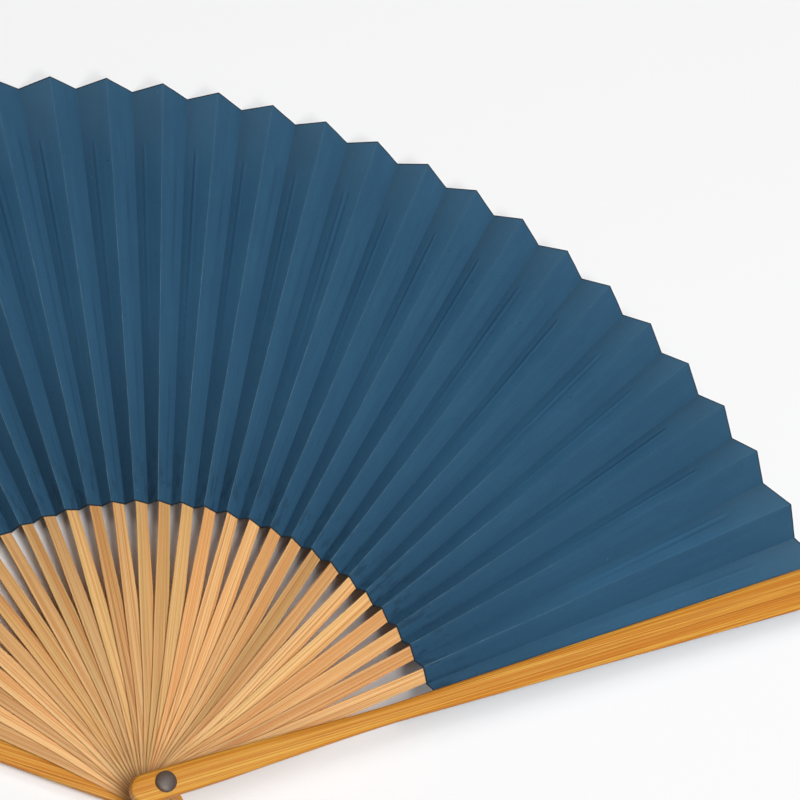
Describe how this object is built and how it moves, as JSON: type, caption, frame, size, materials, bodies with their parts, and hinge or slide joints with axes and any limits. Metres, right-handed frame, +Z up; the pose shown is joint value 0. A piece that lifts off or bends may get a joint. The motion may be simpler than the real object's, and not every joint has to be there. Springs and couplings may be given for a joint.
{
  "type": "folding fan",
  "caption": "Open folding fan: bamboo ribs and two guards turn on one pivot pin and pleat a two-sheet blue paper leaf that folds flat between the guards.",
  "frame": {"origin": "under the middle of the open fan's outline, on the surface that it lies on", "axes": "+X across the open fan towards the upper guard's side, +Y from the pin towards the leaf's outer edge, +Z up"},
  "size_m": [0.386, 0.208, 0.0216],
  "materials": {
    "guard": "satin bamboo skin",
    "rib": "split bamboo, waxed",
    "leaf": "matt dyed paper",
    "pin": "dark, formed heads"
  },
  "bodies": {
    "lower_guard": {"lower_guard": "guard", "pivot_pin": "pin", "leaf_front_sheet": "leaf", "leaf_back_sheet": "leaf"},
    "rib_01": {"rib_01": "rib"},
    "rib_02": {"rib_02": "rib"},
    "rib_03": {"rib_03": "rib"},
    "rib_04": {"rib_04": "rib"},
    "rib_05": {"rib_05": "rib"},
    "rib_06": {"rib_06": "rib"},
    "rib_07": {"rib_07": "rib"},
    "rib_08": {"rib_08": "rib"},
    "rib_09": {"rib_09": "rib"},
    "rib_10": {"rib_10": "rib"},
    "rib_11": {"rib_11": "rib"},
    "rib_12": {"rib_12": "rib"},
    "rib_13": {"rib_13": "rib"},
    "rib_14": {"rib_14": "rib"},
    "rib_15": {"rib_15": "rib"},
    "rib_16": {"rib_16": "rib"},
    "rib_17": {"rib_17": "rib"},
    "rib_18": {"rib_18": "rib"},
    "rib_19": {"rib_19": "rib"},
    "rib_20": {"rib_20": "rib"},
    "rib_21": {"rib_21": "rib"},
    "rib_22": {"rib_22": "rib"},
    "rib_23": {"rib_23": "rib"},
    "rib_24": {"rib_24": "rib"},
    "rib_25": {"rib_25": "rib"},
    "rib_26": {"rib_26": "rib"},
    "rib_27": {"rib_27": "rib"},
    "rib_28": {"rib_28": "rib"},
    "rib_29": {"rib_29": "rib"},
    "rib_30": {"rib_30": "rib"},
    "upper_guard": {"upper_guard": "guard"}
  },
  "joints": [
    {"name": "pleat_01", "type": "hinge", "parent": "lower_guard", "child": "rib_01", "pos_m": [0, -0.09595, 0.0108], "axis": [0.029, 0.0378, 0.9989], "range_deg": [0, 5.71], "deforming": ["leaf_front_sheet", "leaf_back_sheet"]},
    {"name": "pleat_02", "type": "hinge", "parent": "rib_01", "child": "rib_02", "pos_m": [0, -0.09595, 0.0108], "axis": [0.029, 0.0378, 0.9989], "range_deg": [0, 5.16]},
    {"name": "pleat_03", "type": "hinge", "parent": "rib_02", "child": "rib_03", "pos_m": [0, -0.09595, 0.0108], "axis": [0.029, 0.0378, 0.9989], "range_deg": [0, 4.57]},
    {"name": "pleat_04", "type": "hinge", "parent": "rib_03", "child": "rib_04", "pos_m": [0, -0.09595, 0.0108], "axis": [0.029, 0.0378, 0.9989], "range_deg": [0, 4.57]},
    {"name": "pleat_05", "type": "hinge", "parent": "rib_04", "child": "rib_05", "pos_m": [0, -0.09595, 0.0108], "axis": [0.029, 0.0378, 0.9989], "range_deg": [0, 4.57]},
    {"name": "pleat_06", "type": "hinge", "parent": "rib_05", "child": "rib_06", "pos_m": [0, -0.09595, 0.0108], "axis": [0.029, 0.0378, 0.9989], "range_deg": [0, 4.57]},
    {"name": "pleat_07", "type": "hinge", "parent": "rib_06", "child": "rib_07", "pos_m": [0, -0.09595, 0.0108], "axis": [0.029, 0.0378, 0.9989], "range_deg": [0, 4.57]},
    {"name": "pleat_08", "type": "hinge", "parent": "rib_07", "child": "rib_08", "pos_m": [0, -0.09595, 0.0108], "axis": [0.029, 0.0378, 0.9989], "range_deg": [0, 4.57]},
    {"name": "pleat_09", "type": "hinge", "parent": "rib_08", "child": "rib_09", "pos_m": [0, -0.09595, 0.0108], "axis": [0.029, 0.0378, 0.9989], "range_deg": [0, 4.57]},
    {"name": "pleat_10", "type": "hinge", "parent": "rib_09", "child": "rib_10", "pos_m": [0, -0.09595, 0.0108], "axis": [0.029, 0.0378, 0.9989], "range_deg": [0, 4.57]},
    {"name": "pleat_11", "type": "hinge", "parent": "rib_10", "child": "rib_11", "pos_m": [0, -0.09595, 0.0108], "axis": [0.029, 0.0378, 0.9989], "range_deg": [0, 4.57]},
    {"name": "pleat_12", "type": "hinge", "parent": "rib_11", "child": "rib_12", "pos_m": [0, -0.09595, 0.0108], "axis": [0.029, 0.0378, 0.9989], "range_deg": [0, 4.57]},
    {"name": "pleat_13", "type": "hinge", "parent": "rib_12", "child": "rib_13", "pos_m": [0, -0.09595, 0.0108], "axis": [0.029, 0.0378, 0.9989], "range_deg": [0, 4.57]},
    {"name": "pleat_14", "type": "hinge", "parent": "rib_13", "child": "rib_14", "pos_m": [0, -0.09595, 0.0108], "axis": [0.029, 0.0378, 0.9989], "range_deg": [0, 4.57]},
    {"name": "pleat_15", "type": "hinge", "parent": "rib_14", "child": "rib_15", "pos_m": [0, -0.09595, 0.0108], "axis": [0.029, 0.0378, 0.9989], "range_deg": [0, 4.57]},
    {"name": "pleat_16", "type": "hinge", "parent": "rib_15", "child": "rib_16", "pos_m": [0, -0.09595, 0.0108], "axis": [0.029, 0.0378, 0.9989], "range_deg": [0, 4.57]},
    {"name": "pleat_17", "type": "hinge", "parent": "rib_16", "child": "rib_17", "pos_m": [0, -0.09595, 0.0108], "axis": [0.029, 0.0378, 0.9989], "range_deg": [0, 4.57]},
    {"name": "pleat_18", "type": "hinge", "parent": "rib_17", "child": "rib_18", "pos_m": [0, -0.09595, 0.0108], "axis": [0.029, 0.0378, 0.9989], "range_deg": [0, 4.57]},
    {"name": "pleat_19", "type": "hinge", "parent": "rib_18", "child": "rib_19", "pos_m": [0, -0.09595, 0.0108], "axis": [0.029, 0.0378, 0.9989], "range_deg": [0, 4.57]},
    {"name": "pleat_20", "type": "hinge", "parent": "rib_19", "child": "rib_20", "pos_m": [0, -0.09595, 0.0108], "axis": [0.029, 0.0378, 0.9989], "range_deg": [0, 4.57]},
    {"name": "pleat_21", "type": "hinge", "parent": "rib_20", "child": "rib_21", "pos_m": [0, -0.09595, 0.0108], "axis": [0.029, 0.0378, 0.9989], "range_deg": [0, 4.57]},
    {"name": "pleat_22", "type": "hinge", "parent": "rib_21", "child": "rib_22", "pos_m": [0, -0.09595, 0.0108], "axis": [0.029, 0.0378, 0.9989], "range_deg": [0, 4.57]},
    {"name": "pleat_23", "type": "hinge", "parent": "rib_22", "child": "rib_23", "pos_m": [0, -0.09595, 0.0108], "axis": [0.029, 0.0378, 0.9989], "range_deg": [0, 4.57]},
    {"name": "pleat_24", "type": "hinge", "parent": "rib_23", "child": "rib_24", "pos_m": [0, -0.09595, 0.0108], "axis": [0.029, 0.0378, 0.9989], "range_deg": [0, 4.57]},
    {"name": "pleat_25", "type": "hinge", "parent": "rib_24", "child": "rib_25", "pos_m": [0, -0.09595, 0.0108], "axis": [0.029, 0.0378, 0.9989], "range_deg": [0, 4.57]},
    {"name": "pleat_26", "type": "hinge", "parent": "rib_25", "child": "rib_26", "pos_m": [0, -0.09595, 0.0108], "axis": [0.029, 0.0378, 0.9989], "range_deg": [0, 4.57]},
    {"name": "pleat_27", "type": "hinge", "parent": "rib_26", "child": "rib_27", "pos_m": [0, -0.09595, 0.0108], "axis": [0.029, 0.0378, 0.9989], "range_deg": [0, 4.57]},
    {"name": "pleat_28", "type": "hinge", "parent": "rib_27", "child": "rib_28", "pos_m": [0, -0.09595, 0.0108], "axis": [0.029, 0.0378, 0.9989], "range_deg": [0, 4.57]},
    {"name": "pleat_29", "type": "hinge", "parent": "rib_28", "child": "rib_29", "pos_m": [0, -0.09595, 0.0108], "axis": [0.029, 0.0378, 0.9989], "range_deg": [0, 4.57]},
    {"name": "pleat_30", "type": "hinge", "parent": "rib_29", "child": "rib_30", "pos_m": [0, -0.09595, 0.0108], "axis": [0.029, 0.0378, 0.9989], "range_deg": [0, 5.16]},
    {"name": "pleat_31", "type": "hinge", "parent": "rib_30", "child": "upper_guard", "pos_m": [0, -0.09595, 0.0108], "axis": [0.029, 0.0378, 0.9989], "range_deg": [0, 5.71]}
  ],
  "couplings": [
    {"joint": "pleat_02", "follows": "pleat_01", "ratio": 0.90398},
    {"joint": "pleat_03", "follows": "pleat_01", "ratio": 0.79999},
    {"joint": "pleat_04", "follows": "pleat_01", "ratio": 0.79999},
    {"joint": "pleat_05", "follows": "pleat_01", "ratio": 0.79999},
    {"joint": "pleat_06", "follows": "pleat_01", "ratio": 0.79999},
    {"joint": "pleat_07", "follows": "pleat_01", "ratio": 0.79999},
    {"joint": "pleat_08", "follows": "pleat_01", "ratio": 0.79999},
    {"joint": "pleat_09", "follows": "pleat_01", "ratio": 0.79999},
    {"joint": "pleat_10", "follows": "pleat_01", "ratio": 0.79999},
    {"joint": "pleat_11", "follows": "pleat_01", "ratio": 0.79999},
    {"joint": "pleat_12", "follows": "pleat_01", "ratio": 0.79999},
    {"joint": "pleat_13", "follows": "pleat_01", "ratio": 0.79999},
    {"joint": "pleat_14", "follows": "pleat_01", "ratio": 0.79999},
    {"joint": "pleat_15", "follows": "pleat_01", "ratio": 0.79999},
    {"joint": "pleat_16", "follows": "pleat_01", "ratio": 0.79999},
    {"joint": "pleat_17", "follows": "pleat_01", "ratio": 0.79999},
    {"joint": "pleat_18", "follows": "pleat_01", "ratio": 0.79999},
    {"joint": "pleat_19", "follows": "pleat_01", "ratio": 0.79999},
    {"joint": "pleat_20", "follows": "pleat_01", "ratio": 0.79999},
    {"joint": "pleat_21", "follows": "pleat_01", "ratio": 0.79999},
    {"joint": "pleat_22", "follows": "pleat_01", "ratio": 0.79999},
    {"joint": "pleat_23", "follows": "pleat_01", "ratio": 0.79999},
    {"joint": "pleat_24", "follows": "pleat_01", "ratio": 0.79999},
    {"joint": "pleat_25", "follows": "pleat_01", "ratio": 0.79999},
    {"joint": "pleat_26", "follows": "pleat_01", "ratio": 0.79999},
    {"joint": "pleat_27", "follows": "pleat_01", "ratio": 0.79999},
    {"joint": "pleat_28", "follows": "pleat_01", "ratio": 0.79999},
    {"joint": "pleat_29", "follows": "pleat_01", "ratio": 0.79999},
    {"joint": "pleat_30", "follows": "pleat_01", "ratio": 0.90398},
    {"joint": "pleat_31", "follows": "pleat_01", "ratio": 1}
  ]
}
